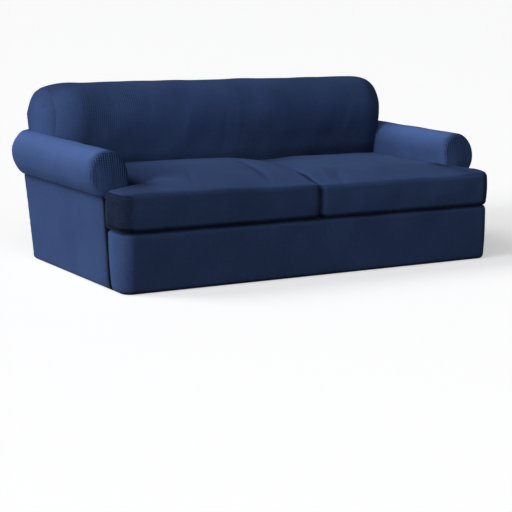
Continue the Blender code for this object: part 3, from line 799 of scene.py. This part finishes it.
def drawn_in(rows, inward, turn):
    """The section moved towards its spine by its depth times one less the cosine of the turn."""
    drop = rows[:, 2:3] * (1 - np.cos(turn))
    return rows[:, 0:1] + inward[:, 0:1] * drop, rows[:, 1:2] + inward[:, 1:2] * drop

# %% The inside back
BACK_CREASES = [(0.10, 0.30, 0.62, 0.26, 0.030, -0.0020), (1.20, 0.27, 1.80, 0.31, 0.035, -0.0022),
                (0.70, 0.24, 0.74, 0.52, 0.020, 0.0014), (0.93, 0.22, 0.95, 0.50, 0.016, -0.0014),
                (1.02, 0.26, 1.03, 0.55, 0.018, 0.0015), (1.32, 0.30, 1.30, 0.54, 0.020, 0.0012),
                (0.30, 0.24, 0.22, 0.50, 0.022, 0.0016), (1.68, 0.26, 1.76, 0.50, 0.022, 0.0016)]
# Patch rows: x, the place up the cloth, both widths and an amount; the first table paints light and shade
# into the tone, lighter at the upper left and a darker band across, and the second is for the ribs
BACK_LIGHT_PATCHES = [(-0.62, 0.44, 0.34, 0.12, 0.22), (0.0, 0.68, np.inf, 0.09, -0.50)]
BACK_RIBS = [(-0.66, 0.50, 0.26, 0.10, 0.60), (0.14, 0.33, 0.16, 0.08, 0.40)]
TOP_DIP = 0.004
END_DIP = 0.0006


def inside_back():
    """The back's section at each place across, drawn in towards the ends; low down it meets the rolls."""
    rows = pick(SECTION, SECTION_RUN, stations(SECTION_RUN[-1], 0.0095))
    seam_x = END_SEAM_X - SEAM
    z = rows[:, 1]
    low = (z < END_FOOT_Z) & (rows[:, 0] < SPINE_Y)
    roll = ROLL_HALF * np.sqrt(np.maximum(1 - (np.maximum(z - ROLL_Z, 0.0) / ROLL_RISE)**2, 0.0))
    edge = np.where(low, np.minimum(ROLL_X - roll, seam_x), seam_x)
    x = edge[:, None] * (stations(2 * seam_x, 0.0125) / seam_x - 1.0)
    turn = np.arcsin(np.clip((np.abs(x) - BACK_HALF + BACK_CORNER) / BACK_CORNER, 0.0, 0.999))
    y, z = drawn_in(rows, towards_spine(rows)[0], turn)
    points = grid(x, y, z)
    normal = normals(points, (0, -1, 0))
    u = run(points, 1)[[int(np.argmin(np.abs(z[:, 0] - SPINE_Z)))]]
    v = run(points, 0)[:, [points.shape[1] // 2]]
    to_end = np.minimum(u, u[:, -1:] - u)
    end_seam = seam_dip(to_end, END_DIP) + pucker(to_end, v, 0.0003, 0.7)
    shift = relief(points, [(v[-1:] - v, u, TOP_DIP, 0.0008, 1.1)], 0.0026, 5.1) + end_seam * (~low)[:, None]
    shift = shift + creases(u, v, BACK_CREASES)
    # Painted light and shade on the inside back: lighter to the left, darker to the right and low down,
    # painted shade where it meets the seat and at its left end, and the patches of painted light and shade
    lower = 1 - rise(v, 0.24, 0.26)
    tone = 0.26 - 0.36 * rise(x, -0.3, 1.2) - (0.15 + 0.35 * rise(x, -0.1, 0.7)) * lower
    tone = tone - 0.40 * (1 - rise(v, 0.20, 0.06)) - 0.28 * (1 - rise(x, -0.955, 0.26))
    flat = on_cut_cloth(u, v, tone + patches(x, v, BACK_LIGHT_PATCHES), 0.12 + patches(x, v, BACK_RIBS))
    return points + normal * shift[..., None], normal, flat


sew("inside_back_panel", "inside_back", "body_knit", *inside_back(), cut=(1.95, 1.06), edges=(1, 1, 1, 1))

# %% The ends of the back
# The end panel's foot is tucked in below the roll's top, and the line of the rear runs on a little further
FOOT_TUCK = 0.012
FOOT_BELOW = 0.020


def back_end(side, phase):
    """Round the end with the last 30 degrees of the ellipse, then in to the spine, a little puffed."""
    top = int(np.argmax(SECTION[:, 1]))
    foot = END_FOOT_Z - FOOT_BELOW
    falling = np.vstack([SECTION[top:], [rear_y(foot), foot, BACK_SECTION[-1, 2]]])[::-1]
    heights = np.linspace(END_FOOT_Z - FOOT_TUCK, SPINE_Z, 16)
    high = SECTION_RUN[SECTION[:, 1] > SPINE_Z]
    rows = np.vstack([pick(SECTION[:top], SECTION[:top, 1], heights),
                      pick(SECTION, SECTION_RUN, np.linspace(high[0], high[-1], 46)[1:-1]),
                      pick(falling, falling[:, 1], heights)[::-1]])
    inward, reach = towards_spine(rows)
    turn = END_SEAM + (np.pi / 2 - END_SEAM) * np.linspace(0.0, 1.0, 9)
    share = np.linspace(0.0, 1.0, 15)[1:]
    draw = rows[:, 2:3] + (reach[:, None] - rows[:, 2:3]) * share
    y, z = (np.hstack([round_part, rows[:, [k]] + inward[:, [k]] * draw])
            for k, round_part in enumerate(drawn_in(rows, inward, turn)))
    x = joined(BACK_HALF - BACK_CORNER * (1 - np.sin(turn)),
               BACK_HALF + END_PUFF * np.sin(np.pi / 2 * share))
    points = grid(side * x, y, z)
    around, inwards = run(points, 0), run(points, 1)
    fade = 1.0 - joined(0.0 * turn, share)
    shift = seam_dip(inwards, END_DIP) + pucker(inwards, around, 0.0003, phase)
    points[..., 0] += side * (shift + fade * uneven(points, 0.0012, phase))
    # Painted light on the end panel, with painted shade near its seam to the inside back
    flat = on_cut_cloth(points[..., 1], points[..., 2], 0.20 + 0.42 * shaded(inwards, 0.060), 0.12)
    return points, same_normal(points, (side, 0, 0)), flat


for name, side, phase in (("left", -1, 0.5), ("right", 1, 2.2)):
    sew("back_end_panel_" + name, "back_end_" + name, "body_knit", *back_end(side, phase), cut=(0.42, 0.30),
        edges=(0, 0, 1, 0))

# %% [markdown]
# ## The outside back
# The rear is one raked panel. Its outline is the sofa's own: straight sides, then the rolls, then the back's
# ends. Every row of points is as wide as the sofa is at that height, so one grid fills the whole outline.

# %% Outside back: a row of points at each height
REAR_TAPER = 0.006
ROLL_STOP = math.radians(82.0)
REAR_CREASES = [(0.20, 0.42, 0.62, 0.30, 0.040, -0.0022), (1.50, 0.30, 1.92, 0.44, 0.040, -0.0022),
                (0.90, 0.08, 1.02, 0.36, 0.030, 0.0014), (1.30, 0.50, 1.62, 0.62, 0.030, 0.0016),
                (0.42, 0.60, 0.80, 0.52, 0.030, -0.0014)]


def outside_back():
    """A row of points at each height, as wide as the sofa is there, on the raked plane of the rear."""
    inward, height = hem_section()
    lower = np.linspace(height[-1], UNDERSIDE_Z, 40)[1:]
    angle = np.linspace(UNDERSIDE_ANGLE, ROLL_STOP, 30)[1:]
    rolls_half, rolls = roll_section(angle, TAIL_DRAW + 3 * SEAM)
    upper = END_FOOT_Z + SEAM + stations(REAR_SEAM_Z - END_FOOT_Z - 2 * SEAM, 0.010, start=False)
    taper = REAR_TAPER * rise(upper, END_FOOT_Z, REAR_SEAM_Z - END_FOOT_Z)
    z = joined(height, lower, rolls, upper)[:, None]
    half = joined(HALF_WIDTH - inward, 0.0 * lower + HALF_WIDTH, rolls_half, BACK_HALF - taper)
    half = half[:, None] - CORNER_TRIM
    inward = joined(inward, np.zeros(len(z) - len(inward)))[:, None]
    share = stations(2.08, 0.014) / 1.04 - 1.0
    points = grid(half * share, rear_y(z) - inward, z)
    normal = same_normal(points, (0, 1, -REAR_RAKE)) / math.hypot(1, REAR_RAKE)
    u = points[..., 0] + HALF_WIDTH
    v = run(points, 0)[:, [len(share) // 2]]
    seams = [(half * (1 - np.abs(share)), v, REAR_DIP, 0.0008, 2.0), (v[-1:] - v, u, TOP_DIP, 0.0008, 4.0),
             (np.abs(v - HEM_STITCH), u, 0.0, 0.0006, 1.0)]
    shift = relief(points, seams, 0.0024, 2.4) + creases(u, v, REAR_CREASES)
    points = points + normal * (shift * rise(z, 0.0, 0.05))[..., None]
    return points, normal, on_cut_cloth(u, v, 0.0, 0.25)


sew("outside_back_panel", "outside_back", "body_knit", *outside_back(), cut=(2.20, 0.78), edges=(0, 1, 1, 1))

# %% [markdown]
# ## The seat cushion covers
# A boxed cushion cover has a top panel and a band all round. Both cushions are T-shaped: an ear reaches out
# in front of the arm. The top is crowned by its filling, and the edge between top and band is round, so the
# top takes the first half of a quarter circle and the band the second half. The two cushions differ a
# little in height, and each has a few soft hollows and creases of its own.

# %% Cushion sizes and the creases in each top
CUSHION_BASE = RAIL_TOP + CLOTH + SEAM
BAND_BOW = 0.003
CUSHION_GAP = BAND_BOW + CLOTH + SEAM
CUSHION_INNER = 0.896
CUSHION_BACK = 0.812
EAR_HALF = 1.046
EAR_BACK = 0.170
EAR_START = 0.880
PLAN_CORNER = 0.050
EDGE_ROUND = 0.024
EDGE_SEAM = EDGE_ROUND * (1 - math.sin(SHARED_EDGE))
FOOT_ROUND = 0.017
BAND_HEM = 0.016
CROWN_ACROSS = 2.4
CROWN_ALONG = 2.6
DIP_REACH = 0.13
DIVIDE_BOW = 0.055
DIVIDE_DEPTH = 0.300
# side, height of the front edge, its rise behind, the depth that the rise takes, crown, x, y and depth of the
# dip in the top, and the radius of every corner in plan but the ear's own
CUSHIONS = {"left": (-1, 0.450, 0.026, 0.50, 0.034, 0.16, 0.24, 0.009, 0.012),
            "right": (1, 0.436, 0.026, 0.25, 0.026, 0.14, 0.70, 0.012, 0.024)}
# Crease rows in plan, x outward from the sofa's middle and y from the front: x0, y0, x1, y1, width, height
TOP_CREASES = {
    "left": [(0.16, 0.70, 0.245, 0.04, 0.026, -0.0100), (0.07, 0.62, 0.12, 0.04, 0.034, 0.0032),
             (0.92, 0.17, 0.72, 0.33, 0.034, -0.0120),
             (-0.05, 0.98, 0.03, 0.62, 0.060, -0.0140), (0.56, 0.36, 0.67, 0.02, 0.018, -0.0026),
             (0.60, 0.56, 0.66, 0.28, 0.016, -0.0022), (0.72, 0.34, 0.90, 0.10, 0.030, -0.0040),
             (0.34, 0.74, 0.62, 0.68, 0.026, -0.0030), (-0.40, 0.02, 0.60, 0.02, 0.110, -0.0080)],
    "right": [(0.20, 0.25, 0.13, -0.03, 0.024, -0.0042), (0.15, 0.34, 0.07, 0.02, 0.020, 0.0022),
              (0.12, 0.32, 0.30, 0.30, 0.016, -0.0022),
              (0.03, 0.12, 0.12, 0.01, 0.014, -0.0024), (0.42, 0.70, 0.66, 0.62, 0.030, -0.0028),
              (-0.03, 0.98, 0.05, 0.60, 0.050, -0.0100), (0.56, 0.40, 0.52, 0.08, 0.020, -0.0022),
              (0.72, 0.36, 0.90, 0.10, 0.028, -0.0030), (0.80, 0.11, 1.20, 0.09, 0.090, 0.0110)],
}
print("the edge seam lies", round(EDGE_SEAM, 4), "m inside the wall")

# %% The T in plan, and how far a place is from its outline
def round_corner(plan, corner, towards, radius):
    """A square moved onto a quarter disc: each share times the root of one less half the other's square."""
    centre = np.array(corner) + np.array(towards) * radius
    share = (centre - plan) * towards / radius
    inside = np.all(share > 0, axis=-1)
    a, b = np.clip(share[..., 0], 0.0, 1.0), np.clip(share[..., 1], 0.0, 1.0)
    disc = np.stack([a * np.sqrt(1 - b**2 / 2), b * np.sqrt(1 - a**2 / 2)], axis=-1)
    return np.where(inside[..., None], centre - disc * radius * towards, plan)


def cushion_plan(inset, corner):
    """The stepped grid of one cushion: the ear's columns stop at the ear's depth."""
    x0, x1, x2 = CUSHION_GAP + inset, CUSHION_INNER - inset, EAR_HALF - inset
    y0, y1, y2 = inset, EAR_BACK - inset, CUSHION_BACK - inset
    near = np.array([0.0, 0.0025, 0.005, 0.008, 0.012, 0.018, 0.026, 0.037, PLAN_CORNER])
    x = joined(x0 + near, np.linspace(x0 + PLAN_CORNER, x1 - PLAN_CORNER, 84)[1:-1], x1 - near[::-1],
               np.linspace(x1, x2 - PLAN_CORNER, 9)[1:-1], x2 - near[::-1])
    y = joined(y0 + near, np.linspace(y0 + PLAN_CORNER, y1, 9)[1:-1],
               np.linspace(y1, y2 - PLAN_CORNER, 62)[:-1], y2 - near[::-1])
    ear = int(np.argmin(np.abs(x - x1)))
    arm = int(np.argmin(np.abs(y - y1)))
    plan = np.stack(np.meshgrid(x, y), axis=-1)
    plan = round_corner(plan, (x2, y0), (-1, 1), PLAN_CORNER)
    for place, towards in (((x0, y0), (1, 1)), ((x0, y2), (1, -1)), ((x1, y2), (-1, -1))):
        plan = round_corner(plan, place, towards, corner)
    return plan, ear, arm


def depth_in_box(plan, low, high, radius):
    """Depth inside a rectangle with round corners: the radius less the distance to the inner rectangle."""
    centre, half = (np.array(high) + low) / 2, (np.array(high) - low) / 2
    over = np.abs(plan - centre) - (half - radius)
    outside = np.linalg.norm(np.maximum(over, 0.0), axis=-1)
    return radius - outside - np.minimum(np.max(over, axis=-1), 0.0)


def depth_in_plan(plan, corner):
    """The greater of the depths inside the cushion's main rectangle and inside the ear's bar."""
    low = (CUSHION_GAP, 0.0)
    ear = depth_in_box(plan, low, (EAR_HALF, EAR_BACK + PLAN_CORNER), PLAN_CORNER)
    main = depth_in_box(plan, low, (CUSHION_INNER, CUSHION_BACK), corner)
    return np.maximum(main, ear * (plan[..., 1] < EAR_BACK))


def crown(plan, name):
    """The edge, its rise, and a flat hump across times one along, less the dip, plus waves and creases."""
    side, edge, climb, climb_depth, full, dip_x, dip_y, dip, _ = CUSHIONS[name]
    x, y = plan[..., 0], plan[..., 1]
    climb = climb * rise(y, 0.0, climb_depth) * (1 - rise(x, EAR_START, EAR_HALF - EAR_START))
    reach = CUSHION_INNER + (EAR_HALF - CUSHION_INNER) * (1 - rise(y, EAR_BACK / 2, 1.5 * EAR_BACK))
    across = np.clip(np.abs(2 * x / reach - 1), 0.0, 1.0)
    along = np.clip(np.abs(2 * y / CUSHION_BACK - 1), 0.0, 1.0)
    hump = full * (1 - across**CROWN_ACROSS) * (1 - along**CROWN_ALONG)
    height = edge + climb + hump - dip * bell((x - dip_x) / DIP_REACH, (y - dip_y) / DIP_REACH)
    return height + uneven(grid(side * x, y, 0.0), 0.0020, 1.0 + side) + creases(x, y, TOP_CREASES[name])


TOP_MIDDLE = np.array([[(CUSHION_GAP + CUSHION_INNER) / 2, CUSHION_BACK / 2]])
print("the tops' middles are at", *(round(float(crown(TOP_MIDDLE, name)[0]), 3) for name in CUSHIONS), "m")

# %% Tops
# Painted shade in the hollow beside the arm's front: its place, both widths and its tone
ARM_HOLLOW_SHADE = [(0.872, 0.192, 0.060, 0.070, -1.15)]


def follow_divide(points):
    """The line between the cushions bows to the right behind the front; the shift fades towards the arms."""
    share = np.clip(1 - np.abs(points[..., 0]) / CUSHION_INNER, 0.0, 1.0)
    points[..., 0] += DIVIDE_BOW * rise(points[..., 1], 0.0, DIVIDE_DEPTH) * share
    return points


def seat_top(name):
    """The crown, less the drop of a quarter circle's first half along the outline."""
    side, *_, corner = CUSHIONS[name]
    plan, ear, arm = cushion_plan(EDGE_SEAM, corner)
    depth = np.clip(depth_in_plan(plan, corner), EDGE_SEAM, EDGE_ROUND)
    height = crown(plan, name) - EDGE_ROUND + np.sqrt(EDGE_ROUND**2 - (EDGE_ROUND - depth)**2)
    x, y = plan[..., 0], plan[..., 1]
    points = follow_divide(grid(side * x, y, height))
    keep = all_quads(points)
    keep[arm:, ear:] = False
    # Painted shade on the top: along the divide, towards the back, towards the arm, and in the hollow beside
    # the arm's front
    tone = 0.35 * shaded(x - CUSHION_GAP - EDGE_SEAM, 0.006) - 0.5 * rise(y, 0.72, 0.08)
    tone = tone - 0.40 * rise(x, 0.80, 0.12) + patches(x, y, ARM_HOLLOW_SHADE)
    return points, normals(points, (0, 0, 1)), on_cut_cloth(x, y, tone, 0.14), keep


for name in CUSHIONS:
    sew("cushion_top_" + name, "seat_top_" + name, "seat_knit", *seat_top(name), cut=(1.04, 0.82),
        rests=("seat_deck",))

# %% Bands
BAND_WAVES = 0.0013


def outline_of(plan, ear, arm):
    """The stepped grid's edge, once round from the front inner corner."""
    return np.vstack([plan[0, :], plan[1:arm + 1, -1], plan[arm, -2:ear:-1], plan[arm:, ear],
                      plan[-1, ear - 1::-1], plan[-2:0:-1, 0]])


def square_up(points, ring, reach):
    """Where two drawn-in edges meet in a corner, no point goes past the place where they meet."""
    ear = ring[:, 0] > CUSHION_INNER - EDGE_SEAM + 0.001
    behind = ring[:, 1] > EAR_BACK - EDGE_SEAM + 0.001
    hem = reach < -EDGE_SEAM
    low_x = np.where(ear, CUSHION_INNER + reach, np.where(hem, CUSHION_GAP - reach, -1.0))
    low_y = np.where(behind, EAR_BACK + reach, np.where(hem, -reach, -1.0))
    high_x = np.where(ear, EAR_HALF, np.where(behind, CUSHION_INNER, EAR_HALF + 1.0))
    high_y = np.where(ear, EAR_BACK, np.where(behind, CUSHION_BACK, 1.0))
    points[..., 0] = np.maximum(np.minimum(points[..., 0], np.where(hem, high_x + reach, 9.0)), low_x)
    points[..., 1] = np.maximum(np.minimum(points[..., 1], np.where(hem, high_y + reach, 9.0)), low_y)


def seat_band(name, phase):
    """The outline carried down a section: half a quarter circle, a bowed wall, a round foot, and the hem."""
    side, *_, corner = CUSHIONS[name]
    ring = outline_of(*cushion_plan(EDGE_SEAM, corner))
    step = np.linalg.norm(np.diff(ring, axis=0, append=ring[:1]), axis=1)
    ahead = (np.roll(ring, -1, axis=0) - ring) / step[:, None]
    behind = np.roll(ahead, 1, axis=0)
    out = np.stack([ahead[:, 1] + behind[:, 1], -ahead[:, 0] - behind[:, 0]], axis=1)
    out /= (1 + np.sum(ahead * behind, axis=1))[:, None]
    alpha = np.linspace(SHARED_EDGE, np.pi / 2, 8)
    foot = quarter(6)[1:]
    wall = np.linspace(0.0, 1.0, 16)[1:]
    base = CUSHION_BASE + CLOTH
    rim = crown(ring, name)
    drop = EDGE_ROUND * (1 - np.cos(alpha))
    high, low = rim - EDGE_ROUND, base + FOOT_ROUND
    z = np.vstack([rim - drop[:, None], high + (low - high) * wall[:, None],
                   low - FOOT_ROUND * np.sin(foot)[:, None] + 0.0 * rim, base + 0.0 * rim[None]])
    outward = joined(EDGE_ROUND * (np.sin(alpha) - math.sin(SHARED_EDGE)),
                     EDGE_SEAM + BAND_BOW * np.sin(np.pi * wall),
                     EDGE_SEAM - FOOT_ROUND * (1 - np.cos(foot)),
                     [EDGE_SEAM - FOOT_ROUND - BAND_HEM])[:, None]
    fall, around = run_of(outward[:, 0], z.mean(axis=1)), run_of(*ring.T)
    turns = 2 * np.pi * around / (around[-1] + step[-1])
    wavy = np.sin(9 * turns + phase) + 0.6 * np.sin(23 * turns + 2 * phase)
    middle = joined(0.0 * alpha, np.sin(np.pi * wall), 0.0 * foot, [0.0])[:, None]
    plan = ring + out * (outward + BAND_WAVES * wavy * middle)[..., None]
    square_up(plan, ring, outward - EDGE_SEAM)
    points = follow_divide(grid(side * plan[..., 0], plan[..., 1], z))
    normal = normals(points, points - points.mean(axis=(0, 1)), closed=True)
    # Painted light and shade on the band: the left band darker than the right and both darker overall, and
    # painted shade at the foot, in the hollow beside the arm, at the ear's end and beside the divide
    tone = 0.09 * side - 0.20 - 0.95 * (1 - rise(z, low - 0.004, 0.008)) + patches(*ring.T, ARM_HOLLOW_SHADE)
    tone = tone - 0.85 * rise(ring[:, 0], 0.975, 0.040) - 0.8 * bell((ring[:, 0] - CUSHION_GAP) / 0.022)
    return points, normal, on_cut_cloth(fall[:, None], around, tone, 0.16)


for name, phase in (("left", 0.4), ("right", 2.6)):
    sew("cushion_band_" + name, "seat_band_" + name, "seat_knit", *seat_band(name, phase), cut=(3.72, 0.24),
        edges=(1, 0, 0, 0), closed=True, rests=("seat_deck",))

# %% [markdown]
# ## The studio
# The floor is plain and pale. Three soft suns light the cover. One comes low from the left and makes the
# side and the rolls bright, one comes high from behind the left and lights the tops, and a wide weak one
# fills the fronts, which stay deep. The floor is kept out of the cover's own bounce light, because a white
# floor would fill the fronts with light that a dark studio doesn't have.

# %% Floor and light
FLOOR_HALF = 200.0


def floor():
    """One big pale square at height 0 that the cover gets no bounce light from."""
    mesh = bpy.data.meshes.new("studio_floor")
    corners = [(x * FLOOR_HALF, y * FLOOR_HALF, 0.0) for x, y in ((-1, -1), (1, -1), (1, 1), (-1, 1))]
    mesh.from_pydata(corners, [], [(0, 1, 2, 3)])
    piece = put_in_scene("studio_floor", mesh)
    material, shader = new_material("pale_floor")
    set_inputs(shader, {"Base Color": (0.86, 0.86, 0.87, 1.0), "Roughness": 0.6,
                        "Emission Color": (1.0, 1.0, 1.0, 1.0), "Emission Strength": 0.42})
    mesh.materials.append(material)
    piece.visible_diffuse = False


def sun(name, direction, strength, spread):
    """A sun that shines from the given direction; spread is the width of its soft edge in degrees."""
    data = bpy.data.lights.new(name, "SUN")
    data.energy = strength
    data.angle = math.radians(spread)
    x, y, z = np.array(direction) / np.linalg.norm(direction)
    put_in_scene(name, data).rotation_euler = (math.acos(z), 0.0, math.atan2(y, x) + math.pi / 2)


floor()
sun("side_light", (-0.95, -0.10, 0.30), 2.4, 24.0)
sun("front_light", (-0.50, -0.70, 0.50), 1.2, 70.0)
sun("high_light", (-0.60, 0.45, 0.65), 1.25, 30.0)
world = bpy.data.worlds.new("studio")
world.use_nodes = True
set_inputs(world.node_tree.nodes["Background"], {"Color": (0.93, 0.96, 1.0, 1.0), "Strength": 0.03})
bpy.context.scene.world = world
bpy.context.scene.view_settings.view_transform = "Standard"

# %% [markdown]
# ## The camera
# The view is from the front left, about 11 degrees above the level. A long lens keeps the near arm from
# looking too big. A camera could be aimed at a point, but a small roll belongs to this view. So it is given
# as three turns from a level look at the front: to the right, then down, then about the line of sight.

# %% Camera
CAMERA_PLACE = (-4.01924, -5.82405 - MIDDLE_Y, 1.43438)
AZIMUTH = math.radians(-32.1543)
ELEVATION = math.radians(10.7662)
ROLL = math.radians(1.2581)
SENSOR = 36.0
FOCAL_PIXELS = 1508.97
PICTURE = 512
camera_data = bpy.data.cameras.new("camera")
camera_data.sensor_width = SENSOR
camera_data.lens = SENSOR * FOCAL_PIXELS / PICTURE
camera = put_in_scene("camera", camera_data)
turns = ((AZIMUTH, "Z"), (math.pi / 2 - ELEVATION, "X"), (ROLL, "Z"))
to_right, down, roll = (Matrix.Rotation(angle, 4, axis) for angle, axis in turns)
camera.matrix_world = Matrix.Translation(CAMERA_PLACE) @ to_right @ down @ roll
bpy.context.scene.camera = camera
print("lens", round(camera_data.lens, 1), "mm")
